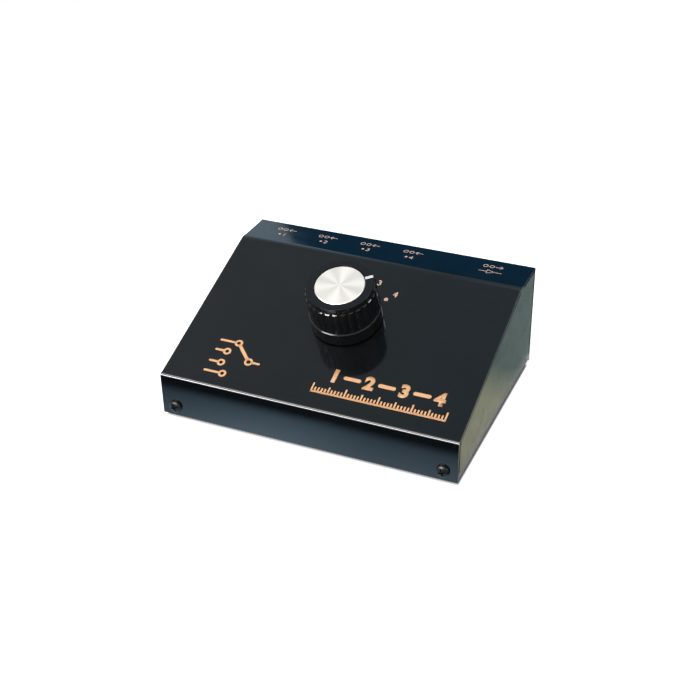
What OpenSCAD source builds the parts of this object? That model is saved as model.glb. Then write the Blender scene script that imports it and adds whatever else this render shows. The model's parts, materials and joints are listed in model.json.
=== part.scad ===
// Audio source selector: a sloping desk box with a rotary switch and rear phono sockets.
// Frame: bottom centre of the whole part, X to the right, Y to the rear, Z up. Millimetres.

/* [Case] */
// Width across the case
case_w = 140; // [136:1:170]
// Depth from the front face to the rear face
case_d = 105; // [100:0.2:122]
// Height of the rear face
case_h = 50.2; // [47:0.2:59]
// Height of the front face
front_h = 20.2; // [18:0.2:24]
// Depth of the flat strip along the rear
strip_d = 22; // [20:0.2:25]
// Sheet thickness of cover and tray
sheet = 1; // [0.8:0.1:1.2]
// Outside radius of the tight cover bends
bend_r = 2; // [1.6:0.1:2.4]
// Outside radius of the soft bend before the strip
soft_r = 12; // [6:1:14]
// Outside radius of the tray bends
tray_r = 1.3; // [1.3:0.1:1.8]
// Set-back of the tray sides from the cover edges
side_inset = 0; // [0:0.1:0.4]
// Width of the tray flanges that take the screws
flange_w = 10; // [9.5:0.1:10.2]
// Width of the tray flanges under the slope and strip
rest_w = 8; // [6:0.5:9]

/* [Screws and feet] */
// Distance of a screw from the case side
screw_in = 6.6; // [6:0.1:6.6]
// Height of a screw above the case bottom
screw_up = 4.7; // [4.6:0.1:6]
// Radius of a screw head
head_r = 3; // [2.6:0.1:3.2]
// Height of a screw head
head_h = 1.9; // [1.5:0.1:2.4]
// Radius of a screw shank
shank_r = 1.5; // [1.2:0.1:1.6]
// Length of a screw shank
shank_l = 6; // [5:0.5:8]
// Length of a screw collar inside the tray flange
collar_l = 1.6; // [1:0.1:2]
// Wall of a screw collar
collar_wall = 1; // [0.8:0.1:1.2]
// Radius of a rubber foot
foot_r = 5; // [4:0.5:7]
// Height of a rubber foot
foot_h = 2; // [1.5:0.1:4]
// Distance of a foot from the case sides
foot_in = 14; // [12:0.5:20]

/* [Knob] */
// Distance of the knob axis up the slope from the front corner
knob_s = 51.3; // [47:0.1:54]
// Height of the knob over the panel
knob_h = 22.4; // [21.6:0.1:24]
// Gap between the knob and the panel
knob_gap = 0.8; // [0.5:0.1:1.2]
// Radius of the plain skirt
skirt_r = 16.3; // [16:0.1:17]
// Height of the top of the skirt over the panel
skirt_h = 7.4; // [6:0.1:9]
// Radius of the fluted grip
grip_r = 15.8; // [15.4:0.1:15.9]
// Number of flutes
flutes = 28; // [20:1:36]
// Radius of a flute
flute_r = 1; // [0.8:0.05:1.1]
// Depth of a flute
flute_d = 0.6; // [0.4:0.05:0.75]
// Height of the plain band above the flutes
rim_h = 2.4; // [1.5:0.1:3]
// Radius of the aluminium cap
cap_r = 11.2; // [10.5:0.1:12]
// Thickness of the aluminium cap
cap_t = 1.4; // [1:0.1:1.8]
// Width of the groove around the cap
cap_gap = 0.3; // [0.3:0.05:0.8]
// Width of the pointer inlay
pointer_w = 1.5; // [1:0.1:2]
// Depth of the pointer inlay
pointer_t = 0.8; // [0.5:0.1:1]
// Pointer angle at rest, clockwise from straight up the slope
pointer_a = 56; // [45:1:60]
// Radius of the hollow underside
hollow_r = 9.6; // [9:0.1:10.5]
// Height of the hollow's ceiling over the panel
hollow_h = 8.4; // [8.2:0.1:9]
// Outer radius of the brass bush
bush_r = 5; // [4.5:0.1:6]
// Height of the top of the bush over the panel
bush_top = 18.6; // [17.5:0.1:19]
// Radius of the grub screw
grub_r = 1.5; // [1.2:0.1:1.6]
// Length of the grub screw
grub_l = 6; // [5:0.5:8]
// Height of the grub screw over the panel
grub_h = 13; // [12:0.5:14]
// Angle of the grub screw from the pointer
grub_a = 100; // [80:1:180]

/* [Switch] */
// Radius of the shaft
shaft_r = 3; // [2.9:0.05:3.1]
// Depth of the flat on the shaft
flat_d = 0.6; // [0.4:0.1:0.8]
// Radius of the threaded neck
neck_r = 4.5; // [4.3:0.1:4.7]
// Height of the neck over the panel
neck_h = 7; // [6:0.1:7.4]
// Radius of the frame plate, housing and wafer
house_r = 13; // [12.8:0.1:13.5]
// Thickness of the frame plate
plate_t = 2.4; // [2:0.1:3]
// Depth of the housing
house_h = 11; // [10.8:0.1:13]
// Thickness of the wafer
wafer_t = 2.2; // [1.6:0.1:2.6]
// Inner radius of the housing
cavity_r = 11.2; // [11.1:0.05:11.4]
// Radius of a detent groove
groove_r = 1.2; // [0.9:0.05:1.3]
// Angle between switch positions
step_a = 30; // [30:1:30]
// Number of switch positions
ways = 4; // [4:1:4]
// Radius of the key lug on the frame plate
key_r = 1.2; // [1:0.1:1.4]
// Distance of the key lug from the axis
key_out = 10; // [9.5:0.1:10.5]
// Radius of the shaft collar and its clip
collar_r = 5; // [4.6:0.1:5]
// Thickness of the shaft collar
collar_t = 0.8; // [0.6:0.1:1]
// Radius of the rotor's upper disc
rotor_r = 9; // [8.5:0.1:9.2]
// Thickness of the rotor's upper disc
rotor_t = 4.2; // [4:0.1:4.4]
// Radius of the rotor's contact disc
carrier_r = 9.9; // [9.8:0.1:10]
// Thickness of the rotor's contact disc
carrier_t = 2.2; // [1.8:0.1:2.4]
// Length of the rotor hub below the contact disc
hub_l = 0.8; // [0.6:0.1:1]
// Radius of the end stop lug on the rotor
stop_r = 10.8; // [10.7:0.05:10.85]
// Half the angle of the end stop lug
stop_a = 8; // [6:1:10]
// Spare angle at each end stop
stop_spare = 3; // [2.5:0.5:4]
// Radius of the detent ball
ball_r = 1.5; // [1.3:0.1:1.55]
// Radius of the detent spring coils
coil_r = 1.1; // [0.9:0.05:1.15]
// Radius of the detent spring wire
coil_w = 0.22; // [0.18:0.02:0.26]
// Turns of the detent spring
coil_n = 4; // [3:1:5]
// Radius of the shaft clip's groove
clip_in = 2.3; // [2:0.1:2.5]
// Thickness of the shaft clip
clip_t = 0.6; // [0.5:0.1:0.7]
// Distance of the outer contacts from the axis
contact_out = 9; // [8.9:0.05:9.1]
// Distance of the common contacts from the axis
common_out = 6; // [5.9:0.05:6.1]
// Radius of an outer contact
contact_r = 1.1; // [0.9:0.05:1.15]
// Height of the contacts above the wafer
contact_h = 1.3; // [1:0.1:1.4]
// Length of a solder tag
tag_l = 5.5; // [4.5:0.5:6.5]
// Width of a solder tag
tag_w = 1.8; // [1.6:0.1:2]
// Thickness of a solder tag
tag_t = 0.6; // [0.5:0.1:0.7]
// Thickness of the wiper strips
wiper_t = 0.4; // [0.3:0.05:0.5]
// Width of the wiper strips
wiper_w = 2; // [1.6:0.1:2.4]
// Width across the flats of the switch nut
nut_af = 13; // [12:0.5:13.5]
// Thickness of the switch nut
nut_t = 2.2; // [1.8:0.1:2.6]
// Outer radius of the lock washer
lock_r = 7.6; // [7:0.1:8]
// Thickness of the lock washer
lock_t = 0.6; // [0.5:0.1:0.8]

/* [Sockets] */
// Number of input socket pairs
inputs = 4; // [4:1:4]
// Distance of the first and last socket pair from the case sides
socket_in = 17.5; // [17.3:0.1:19]
// Spacing of the input socket pairs
pitch_x = 21.9; // [19:0.1:22.5]
// Height of the lower socket row
row_low = 15.5; // [14.5:0.1:16]
// Height of the upper socket row
row_high = 33.5; // [33:0.1:35]
// Outer radius of a socket shell
shell_r = 4.15; // [4.1:0.05:4.2]
// Wall of a socket shell
shell_wall = 0.6; // [0.5:0.05:0.7]
// Length of a socket shell beyond its collar
shell_l = 8.2; // [7.5:0.1:9]
// Width across the flats of the collar at the foot of a shell
lip_af = 10; // [9.6:0.2:10.4]
// Thickness of the collar at the foot of a shell
lip_t = 1.2; // [1:0.1:1.4]
// Depth and height of the undercut at the foot of a shell
undercut = 0.2; // [0.15:0.05:0.25]
// Thickness of the shell's floor above its collar
shell_floor = 0.6; // [0.5:0.1:0.8]
// Radius of the threaded tail
tail_r = 3.8; // [3.6:0.05:3.85]
// Length of the threaded tail inside the rear face
tail_l = 8.4; // [8:0.1:9]
// Outer radius of the colour ring and the inner washer
ring_out = 6; // [5.8:0.1:6.2]
// Thickness of the colour ring
ring_t = 1.6; // [1.2:0.1:2]
// Radius of the socket hole in the rear face
hole_r = 4.7; // [4.6:0.05:4.8]
// Thickness of the inner washer
washer_t = 0.8; // [0.6:0.1:1]
// Thickness of a ground lug
lug_t = 0.5; // [0.4:0.05:0.6]
// Width of a ground lug's tab
lug_w = 3; // [2.4:0.1:3.2]
// Width across the flats of a socket nut
socket_af = 10.8; // [10:0.2:11]
// Thickness of a socket nut
socket_nut_t = 2.2; // [1.8:0.1:2.6]
// Radius of the insulating core inside the tail
core_r = 3; // [2.95:0.05:3.05]
// Outer radius of the centre contact
pole_r = 2.4; // [2.35:0.05:2.5]
// Bore radius of the centre contact
pin_r = 1.6; // [1.6:0.05:1.65]
// Radius of the relief at the end of the centre contact's bore
relief_r = 2; // [1.95:0.05:2.05]
// Length of the gripping bore
grip_l = 7.4; // [6.5:0.1:7.6]
// Depth of the whole bore
bore_l = 14.6; // [14:0.1:15]
// Set-back of core and contact behind the shell's mouth
recess = 0.4; // [0.2:0.1:0.6]
// Radius of the solder pin
pin_tail_r = 0.9; // [0.8:0.05:1]
// Length of the solder pin
pin_tail_l = 6; // [5:0.5:7]

/* [Wiring] */
// Radius of a signal wire
wire_r = 0.55; // [0.45:0.05:0.6]
// Radius of the bare ground wire
bus_r = 0.45; // [0.4:0.05:0.5]
// Radius of a solder joint on the ground wire
solder_r = 0.9; // [0.8:0.05:1]
// Pull of a wire away from the switch
pull_a = 10; // [9:0.5:11]
// Pull of a wire away from a socket
pull_b = 12; // [11:0.5:13]
// Straight length at both ends of a wire
lead = 1; // [0.5:0.1:1.2]
// Height between crossing wires
sag_step = 4; // [3.8:0.1:4.2]

/* [Fits] */
// Edge break on turned parts
edge = 0.3; // [0.2:0.05:0.35]
// Radial running clearance of the shaft in its neck
run_fit = 0.05; // [0.03:0.01:0.08]
// End play of the shaft collar and of the wipers
end_play = 0.08; // [0.05:0.01:0.12]
// Radial clearance of a thread or a loose part
thread_fit = 0.05; // [0.03:0.01:0.08]
// Radial clearance of a screw through the cover
screw_fit = 0.25; // [0.15:0.05:0.4]

/* [Hidden] */
$fn = 64;
bend_steps = 10;
slope_a = atan2(case_h - front_h, case_d - strip_d);
socket_reach = ring_t + lip_t + shell_l;
y_front = -(case_d + socket_reach - head_h) / 2;
y_rear = y_front + case_d;
side_x = case_w / 2 - side_inset;
band_r = grip_r - flute_d - 0.2;
rib_top = knob_h - rim_h;
knob_y = y_front + knob_s * cos(slope_a);
knob_z = foot_h + front_h + knob_s * sin(slope_a);
z_plate = -sheet - plate_t;
z_house = z_plate - house_h;
z_wafer = z_house - wafer_t;
z_rotor = z_plate - end_play - collar_t;
z_carrier = z_rotor - rotor_t;
z_under = z_carrier - carrier_t;
z_clip = z_under - hub_l;
z_ball = z_rotor - rotor_t / 2;
ball_out = cavity_r - 0.3 - ball_r;
pointer_m = 90 - pointer_a;
rest_a = 45;
sweep_a = step_a * (ways - 1);
lug_turn = 180;
mid_row = (row_low + row_high) / 2;
z_lug = -sheet - washer_t - lug_t;
z_lip = ring_t + lip_t;
z_core = z_lip + shell_floor;
z_mouth = socket_reach - recess;
pole_end = z_mouth - bore_l - 1;
pairs = inputs + 1;

function reversed(list) = [for (i = [len(list) - 1:-1:0]) list[i]];
function inward(a) = [sin(a), -cos(a)];
function along(a) = [cos(a), sin(a)];
// Corner between two edges, moved inward by d
function inset(p, a, b, d) = p + d * (inward(a) + inward(b)) / (1 + inward(a) * inward(b));
// Arc of a bend of outside radius r at corner p, drawn at radius q
function bend(p, a, b, r, q) =
    let (c = p - r * tan((a - b) / 2) * along(a) + r * inward(a))
    [for (i = [0:bend_steps]) c - q * inward(a + (b - a) * i / bend_steps)];
// Bends of the cover outline, moved inward by d
function skin(d) = [for (k = [1:3]) each bend(corners[k], dirs[k - 1], dirs[k], radii[k], radii[k] - d)];
function socket_x(i) = i > inputs ? case_w / 2 - socket_in : -case_w / 2 + socket_in + pitch_x * (i - 1);
function row_z(row) = foot_h + (row == "left" ? row_high : row_low);
// Row frame position of a point given in the panel's own frame at the knob axis
function on_panel(p) = [
    p[0],
    knob_y + p[1] * cos(slope_a) - p[2] * sin(slope_a),
    knob_z + p[1] * sin(slope_a) + p[2] * cos(slope_a)
];
function bezier(p, t) =
    pow(1 - t, 3) * p[0] + 3 * t * pow(1 - t, 2) * p[1] + 3 * t * t * (1 - t) * p[2] + pow(t, 3) * p[3];
function unit(v) = v / norm(v);
// Ring of points around a path point
function ring(c, dir, r, sides) =
    let (u = unit(cross(dir, abs(dir[0]) < 0.9 ? [1, 0, 0] : [0, 1, 0])), v = cross(dir, u))
    [for (k = [0:sides - 1]) c + r * (cos(360 * k / sides) * u + sin(360 * k / sides) * v)];

// Corners of the case outline, front bottom to rear bottom, as depth and height
corners = [[0, 0], [0, front_h], [case_d - strip_d, case_h], [case_d, case_h], [case_d, 0]];
// Direction of each outline edge
dirs = [90, slope_a, 0, -90, -180];
radii = [0, bend_r, soft_r, bend_r, 0];
// Inside corners of the cover, where the tray flanges lie
seat = [
    [sheet, 0],
    inset(corners[1], dirs[0], dirs[1], sheet),
    inset(corners[2], dirs[1], dirs[2], sheet),
    [case_d - sheet, case_h - sheet],
    [case_d - sheet, 0]
];

// Places children in the panel's frame at the knob axis
module at_panel() {
    translate([0, knob_y, knob_z]) rotate([slope_a, 0, 0]) children();
}

// Places children at a socket, their Z pointing out of the rear face
module at_socket(i, row) {
    translate([socket_x(i), y_rear, row_z(row)]) rotate([-90, 0, 0]) children();
}

// Draws an outline of depth and height across the case
module across(w) {
    translate([-w / 2, y_front, foot_h]) rotate([90, 0, 90]) linear_extrude(w) children();
}

module at_front_screws() {
    for (s = [-1, 1])
        translate([s * (case_w / 2 - screw_in), y_front, foot_h + screw_up]) rotate([90, 0, 0]) children();
}

module at_rear_screws() {
    for (s = [-1, 1])
        translate([s * (case_w / 2 - screw_in), y_rear, foot_h + screw_up]) rotate([-90, 0, 0]) children();
}

module at_screws() {
    at_front_screws() children();
    at_rear_screws() children();
}

// Tube between two radii
module tube(r_out, r_in, z0, z1) {
    difference() {
        translate([0, 0, z0]) cylinder(r = r_out, h = z1 - z0);
        translate([0, 0, z0 - 1]) cylinder(r = r_in, h = z1 - z0 + 2);
    }
}

// Sector of a ring between two angles
module sector(r_in, r_out, a0, a1, z0, z1) {
    translate([0, 0, z0]) rotate([0, 0, a0])
        rotate_extrude(angle = a1 - a0) translate([r_in, 0]) square([r_out - r_in, z1 - z0]);
}

// Round tube of sides around a list of path points
module sweep(path, r, sides) {
    n = len(path);
    steps = [for (k = [0:n - 1]) unit(path[min(k + 1, n - 1)] - path[max(k - 1, 0)])];
    points = [for (k = [0:n - 1]) each ring(path[k], steps[k], r, sides)];
    walls = [
        for (k = [0:n - 2], j = [0:sides - 1])
            let (a = k * sides + j, b = k * sides + (j + 1) % sides)
            each [[a, b, b + sides], [a, b + sides, a + sides]]
    ];
    ends = [
        [for (j = [sides - 1:-1:0]) j],
        [for (j = [0:sides - 1]) (n - 1) * sides + j]
    ];
    polyhedron(points, concat(walls, ends));
}

module top_cover() color("#23282d")
    difference() {
        across(case_w) polygon(concat(
            [corners[0]],
            skin(0),
            [corners[4], corners[4] - [sheet, 0]],
            reversed(skin(sheet)),
            [[sheet, 0]]
        ));
        at_panel() translate([0, 0, -2 * sheet]) {
            cylinder(r = neck_r + screw_fit, h = 4 * sheet);
            translate([0, -key_out, 0]) cylinder(r = key_r + screw_fit, h = 4 * sheet);
        }
        for (i = [1:pairs], row = ["left", "right"])
            at_socket(i, row) translate([0, 0, -2 * sheet]) cylinder(r = hole_r, h = 4 * sheet);
        at_screws() translate([0, 0, -2 * sheet]) cylinder(r = shank_r + screw_fit, h = 4 * sheet);
    }

// Bent edge of a tray side along one edge of the seat, cut back at its ends
module tray_edge(k, w, cut_a, cut_b) {
    p = seat[k];
    q = seat[(k + 1) % 5];
    leg = tray_r + 3;
    start = p + cut_a * unit(q - p);
    arc_out = [for (i = [0:bend_steps]) [tray_r, tray_r] - tray_r * along(90 - 90 * i / bend_steps)];
    arc_in = [for (i = [0:bend_steps]) [tray_r, tray_r] - (tray_r - sheet) * along(90 * i / bend_steps)];
    translate([side_x, y_front + start[0], foot_h + start[1]])
        rotate([dirs[k], 0, 0]) rotate([-90, 0, 0]) rotate([0, 0, 90])
            linear_extrude(norm(q - p) - cut_a - cut_b)
                polygon(concat([[leg, 0]], arc_out, [[0, w], [sheet, w]], arc_in, [[leg, sheet]]));
}

// Patch of the side wall that closes the corner between two bent edges
module tray_corner(k, reach) {
    near = inset(corners[k], dirs[k - 1], dirs[k], sheet + 0.25);
    deep = inset(corners[k], dirs[k - 1], dirs[k], sheet + tray_r + 2);
    before = reach * along(dirs[k - 1]);
    after = reach * along(dirs[k]);
    translate([side_x - sheet, y_front, foot_h]) rotate([90, 0, 90]) linear_extrude(sheet)
        polygon([near - before, near, near + after, deep + after, deep, deep - before]);
}

// Right side of the tray with its flanges
module tray_side() {
    tight_cut = bend_r - sheet + 0.4;
    soft_cut = soft_r * tan(slope_a / 2) + 0.4;
    flat = tray_r + 1;
    translate([side_x - sheet, y_front, foot_h]) rotate([90, 0, 90]) linear_extrude(sheet) polygon([
        [sheet + flat, flat],
        inset(corners[1], dirs[0], dirs[1], sheet + flat),
        inset(corners[2], dirs[1], dirs[2], sheet + flat),
        [case_d - sheet - flat, case_h - sheet - flat],
        [case_d - sheet - flat, flat]
    ]);
    tray_corner(2, soft_cut + 0.3);
    tray_edge(0, flange_w, bend_r, tight_cut);
    tray_edge(1, rest_w, tight_cut, soft_cut);
    tray_edge(2, rest_w, soft_cut, tight_cut);
    tray_edge(3, flange_w, tight_cut, bend_r);
    tray_edge(4, flange_w + 4, 0, 0);
}

module base_tray() color("#2b3136")
    difference() {
        union() {
            tray_side();
            mirror([1, 0, 0]) tray_side();
            translate([-side_x + flange_w, y_front + sheet, foot_h])
                cube([2 * (side_x - flange_w), case_d - 2 * sheet, sheet]);
            at_screws() translate([0, 0, -2 * sheet - collar_l])
                cylinder(r = shank_r + collar_wall, h = collar_l + sheet / 2);
        }
        at_screws() translate([0, 0, -shank_l - 1]) cylinder(r = shank_r + thread_fit, h = shank_l + 1);
    }

// Pan head screw, head seated on Z zero
module screw() {
    rim = 0.35 * head_h;
    slot = 0.26 * head_r;
    difference() {
        rotate_extrude() polygon(concat(
            [[0, -shank_l], [shank_r - 0.4, -shank_l], [shank_r, -shank_l + 0.6], [shank_r, 0], [head_r, 0]],
            [for (a = [0:15:90]) [head_r * cos(a), rim + (head_h - rim) * sin(a)]]
        ));
        for (a = [0, 90]) rotate([0, 0, a + 20])
            translate([-0.6 * head_r, -slot / 2, 0.4 * head_h]) cube([1.2 * head_r, slot, head_h]);
    }
}

module front_screws() color("#191b1d") at_front_screws() screw();

module rear_screws() color("#191b1d") at_rear_screws() screw();

module rubber_feet() color("#141414")
    for (s = [-1, 1], y = [y_front + foot_in, y_rear - foot_in])
        translate([s * (case_w / 2 - foot_in), y, 0])
            rotate_extrude() polygon([
                [0, 0],
                [foot_r - 0.5, 0],
                [foot_r, 0.5],
                [foot_r, foot_h],
                [0, foot_h]
            ]);

module knob_body() color("#1b1c1e")
    at_panel() difference() {
        rotate_extrude() polygon([
            [hollow_r, knob_gap],
            [skirt_r - 0.2, knob_gap],
            [skirt_r, knob_gap + 0.2],
            [skirt_r, skirt_h - 0.25],
            [grip_r, skirt_h],
            [grip_r, rib_top - 0.4],
            [grip_r - 0.4, rib_top],
            [band_r, rib_top],
            [band_r, knob_h - 0.25],
            [band_r - 0.1, knob_h],
            [cap_r + cap_gap, knob_h],
            [cap_r + cap_gap, knob_h - cap_t - 0.5],
            [cap_r - 0.5, knob_h - cap_t - 0.5],
            [cap_r - 0.5, knob_h - cap_t],
            [0, knob_h - cap_t],
            [0, bush_top],
            [bush_r, bush_top],
            [bush_r, hollow_h],
            [hollow_r, hollow_h]
        ]);
        for (k = [0:flutes - 1]) rotate([0, 0, (k + 0.5) * 360 / flutes])
            translate([grip_r + flute_r - flute_d, 0, skirt_h + 0.2])
                cylinder(r = flute_r, h = rib_top - skirt_h + 0.3);
        rotate([0, 0, pointer_m]) translate([cap_r, -pointer_w / 2, knob_h - pointer_t])
            cube([skirt_r, pointer_w, pointer_t + 1]);
        rotate([0, 0, pointer_m + grub_a]) translate([bush_r - 1, 0, grub_h]) rotate([0, 90, 0])
            cylinder(r = grub_r + thread_fit, h = skirt_r);
    }

module knob_cap() color("#e3e4e4")
    at_panel() translate([0, 0, knob_h - cap_t])
        rotate_extrude() polygon([
            [0, 0],
            [cap_r, 0],
            [cap_r, cap_t - edge],
            [cap_r - edge, cap_t],
            [0, cap_t]
        ]);

module knob_pointer() color("#f2f2ee")
    at_panel() rotate([0, 0, pointer_m]) translate([cap_r + cap_gap, -pointer_w / 2, knob_h - pointer_t])
        cube([band_r - cap_r - cap_gap, pointer_w, pointer_t]);

module knob_bush() color("#b8923f")
    at_panel() difference() {
        tube(bush_r, shaft_r + thread_fit, hollow_h, bush_top);
        rotate([0, 0, pointer_m + grub_a]) translate([0, 0, grub_h]) rotate([0, 90, 0])
            cylinder(r = grub_r + thread_fit, h = skirt_r);
    }

module knob_grub_screw() color("#3a3d40")
    at_panel() rotate([0, 0, pointer_m + grub_a])
        translate([shaft_r - flat_d, 0, grub_h]) rotate([0, 90, 0]) difference() {
            cylinder(r = grub_r, h = grub_l);
            translate([0, 0, grub_l - 2]) cylinder(r = 0.5 * grub_r, h = 3, $fn = 6);
        }

module switch_bushing() color("#b9bcbf")
    at_panel() difference() {
        union() {
            translate([0, 0, z_plate]) cylinder(r = house_r, h = plate_t);
            translate([0, 0, -sheet - 0.2]) cylinder(r = neck_r, h = neck_h + sheet + 0.2);
            translate([0, -key_out, -sheet - 0.2]) cylinder(r = key_r, h = sheet);
            for (s = [0, 180]) rotate([0, 0, s]) {
                translate([house_r - 2, -2, z_plate]) cube([2.9, 4, plate_t]);
                translate([house_r + 0.1, -2, z_wafer - 0.8]) cube([0.8, 4, z_plate - z_wafer + 1.8]);
                translate([house_r - 1.6, -2, z_wafer - 0.8]) cube([2.5, 4, 0.8]);
            }
        }
        translate([0, 0, z_plate - 1]) cylinder(r = shaft_r + run_fit, h = neck_h + sheet + plate_t + 2);
        // Thread of the neck
        for (k = [1:6]) translate([0, 0, lock_t + nut_t + 0.4 + (k - 1) * 0.6])
            tube(neck_r + 1, neck_r - 0.25, 0, 0.3);
    }

module switch_lockwasher() color("#c6c8ca")
    at_panel() difference() {
        tube(lock_r, neck_r + thread_fit, 0, lock_t);
        for (k = [0:11]) rotate([0, 0, 30 * k])
            translate([lock_r, 0, -1]) cylinder(r = 0.7, h = lock_t + 2);
    }

module switch_nut() color("#c9cbcd")
    at_panel() difference() {
        translate([0, 0, lock_t]) cylinder(d = nut_af / cos(30), h = nut_t, $fn = 6);
        cylinder(r = neck_r + thread_fit, h = 10);
    }

module switch_housing() color("#2a2c2f")
    at_panel() {
        difference() {
            tube(house_r, cavity_r, z_house, z_plate);
            for (k = [0:11]) rotate([0, 0, 30 * k])
                translate([cavity_r, 0, z_carrier + 0.3]) cylinder(r = groove_r, h = house_h);
        }
        stop_top = z_carrier + 0.1;
        low_stop = lug_turn - stop_a - stop_spare;
        high_stop = lug_turn + sweep_a + stop_a + stop_spare;
        sector(carrier_r + 0.4, cavity_r + 0.4, low_stop - 12, low_stop, z_house, stop_top);
        sector(carrier_r + 0.4, cavity_r + 0.4, high_stop, high_stop + 12, z_house, stop_top);
    }

module switch_wafer() color("#6b4a2b")
    at_panel() difference() {
        translate([0, 0, z_wafer]) cylinder(r = house_r, h = wafer_t);
        for (pole = [0, 180], k = [0:ways - 1]) rotate([0, 0, rest_a + pole + step_a * k])
            translate([contact_out, 0, z_wafer - 1]) cylinder(r = 0.7 * contact_r, h = wafer_t + 2);
        for (pole = [0, 180]) rotate([0, 0, rest_a + pole + sweep_a / 2])
            translate([common_out, 0, z_wafer - 1]) cylinder(r = 0.7 * contact_r, h = wafer_t + 2);
    }

// Stem and solder tag of a terminal at a distance from the axis
module terminal(out) {
    translate([out, 0, z_wafer - 0.1]) cylinder(r = 0.7 * contact_r, h = wafer_t + 0.2);
    translate([out - tag_t / 2, -tag_w / 2, z_wafer - tag_l]) cube([tag_t, tag_w, tag_l]);
}

module switch_terminals() color("#c9b27a")
    at_panel() for (pole = [0, 180]) rotate([0, 0, rest_a + pole]) {
        for (k = [0:ways - 1]) rotate([0, 0, step_a * k]) {
            terminal(contact_out);
            translate([contact_out, 0, z_house]) cylinder(r = contact_r, h = contact_h);
        }
        rotate([0, 0, sweep_a / 2]) terminal(common_out);
        sector(common_out - 0.7, common_out + 0.7, -8, sweep_a + 8, z_house, z_house + contact_h);
    }

module switch_shaft() color("#cfd1d2")
    at_panel() difference() {
        union() {
            translate([0, 0, z_clip - clip_t - 1])
                cylinder(r = shaft_r, h = bush_top - 0.2 - z_clip + clip_t + 1);
            translate([0, 0, z_rotor]) cylinder(r = collar_r, h = collar_t);
        }
        translate([0, 0, z_clip - clip_t]) tube(shaft_r + 1, clip_in, 0, clip_t);
        rotate([0, 0, pointer_m + grub_a]) translate([shaft_r - flat_d, -shaft_r, neck_h + 0.5])
            cube([shaft_r, 2 * shaft_r, bush_top]);
    }

module shaft_clip() color("#9a9c9e")
    at_panel() difference() {
        translate([0, 0, z_clip - clip_t]) tube(collar_r, clip_in, 0, clip_t);
        translate([0, -0.8 * clip_in, z_clip - clip_t - 1]) cube([collar_r + 1, 1.6 * clip_in, clip_t + 2]);
    }

module switch_rotor() color("#e8e4d6")
    at_panel() difference() {
        union() {
            translate([0, 0, z_carrier - 0.1]) cylinder(r = rotor_r, h = rotor_t + 0.1);
            translate([0, 0, z_under]) cylinder(r = carrier_r, h = carrier_t);
            translate([0, 0, z_clip]) cylinder(r = collar_r - 0.4, h = hub_l + 0.1);
            sector(carrier_r - 1, stop_r, lug_turn - stop_a, lug_turn + stop_a, z_under, z_carrier);
        }
        translate([0, 0, z_clip - 1])
            cylinder(r = shaft_r + thread_fit, h = rotor_t + carrier_t + hub_l + 2);
        translate([collar_r, 0, z_ball]) rotate([0, 90, 0]) cylinder(r = ball_r + thread_fit, h = rotor_r);
    }

module rotor_wipers() color("#c98f4e")
    at_panel() for (pole = [0, 180]) rotate([0, 0, rest_a + pole]) {
        tip = z_house + contact_h + end_play;
        translate([collar_r + 0.3, -wiper_w / 2, z_under - wiper_t])
            cube([carrier_r - 0.2 - collar_r - 0.3, wiper_w, wiper_t]);
        for (out = [common_out, contact_out - 0.2])
            translate([out, 0, tip]) cylinder(r = 0.6, h = z_under - wiper_t / 2 - tip);
    }

module detent_ball() color("#d5d7d8")
    at_panel() translate([ball_out, 0, z_ball]) sphere(r = ball_r);

module detent_spring() color("#aeb1b3")
    at_panel() {
        x0 = collar_r + coil_w;
        x1 = ball_out - sqrt(pow(ball_r + coil_w, 2) - coil_r * coil_r);
        sweep([
            for (k = [0:12 * coil_n])
                [x0 + (x1 - x0) * k / (12 * coil_n), coil_r * cos(30 * k), z_ball + coil_r * sin(30 * k)]
        ], coil_w, 6);
    }

module jack_shell(i, row) color("#c4c7c9")
    at_socket(i, row) rotate_extrude() polygon([
        [core_r, -sheet - tail_l],
        [tail_r, -sheet - tail_l],
        [tail_r, z_lip],
        [shell_r - undercut, z_lip],
        [shell_r - undercut, z_lip + undercut],
        [shell_r, z_lip + undercut],
        [shell_r, socket_reach - edge],
        [shell_r - edge, socket_reach],
        [shell_r - shell_wall, socket_reach],
        [shell_r - shell_wall, z_core],
        [core_r, z_core]
    ]);

module jack_collars() color("#b4b7b9")
    for (i = [1:pairs], row = ["left", "right"]) at_socket(i, row) difference() {
        translate([0, 0, ring_t]) cylinder(d = lip_af / cos(30), h = lip_t, $fn = 6);
        translate([0, 0, ring_t - 1]) cylinder(r = tail_r + thread_fit, h = lip_t + 2);
    }

module jack_ring(i, row) color(row == "left" ? "#ece9e2" : "#b3272b")
    at_socket(i, row) rotate_extrude() polygon([
        [tail_r + thread_fit, -0.9 * sheet],
        [hole_r - thread_fit, -0.9 * sheet],
        [hole_r - thread_fit, 0],
        [ring_out, 0],
        [ring_out, ring_t - edge],
        [ring_out - edge, ring_t],
        [tail_r + thread_fit, ring_t]
    ]);

module jack_core(i) color("#24262a")
    for (row = ["left", "right"]) at_socket(i, row) rotate_extrude() polygon([
        [pole_r, -sheet - tail_l - 0.5],
        [core_r - thread_fit, -sheet - tail_l - 0.5],
        [core_r - thread_fit, z_core],
        [shell_r - shell_wall - thread_fit, z_core],
        [shell_r - shell_wall - thread_fit, z_mouth],
        [pole_r, z_mouth]
    ]);

module jack_contact(i) color("#cdb06a")
    for (row = ["left", "right"]) at_socket(i, row) rotate_extrude() polygon([
        [0, pole_end - pin_tail_l],
        [pin_tail_r, pole_end - pin_tail_l],
        [pin_tail_r, pole_end],
        [pole_r, pole_end],
        [pole_r, z_mouth],
        [pin_r + edge, z_mouth],
        [pin_r, z_mouth - edge],
        [pin_r, z_mouth - edge - grip_l],
        [relief_r, z_mouth - 2 * edge - grip_l],
        [relief_r, z_mouth - bore_l],
        [0, z_mouth - bore_l]
    ]);

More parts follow.
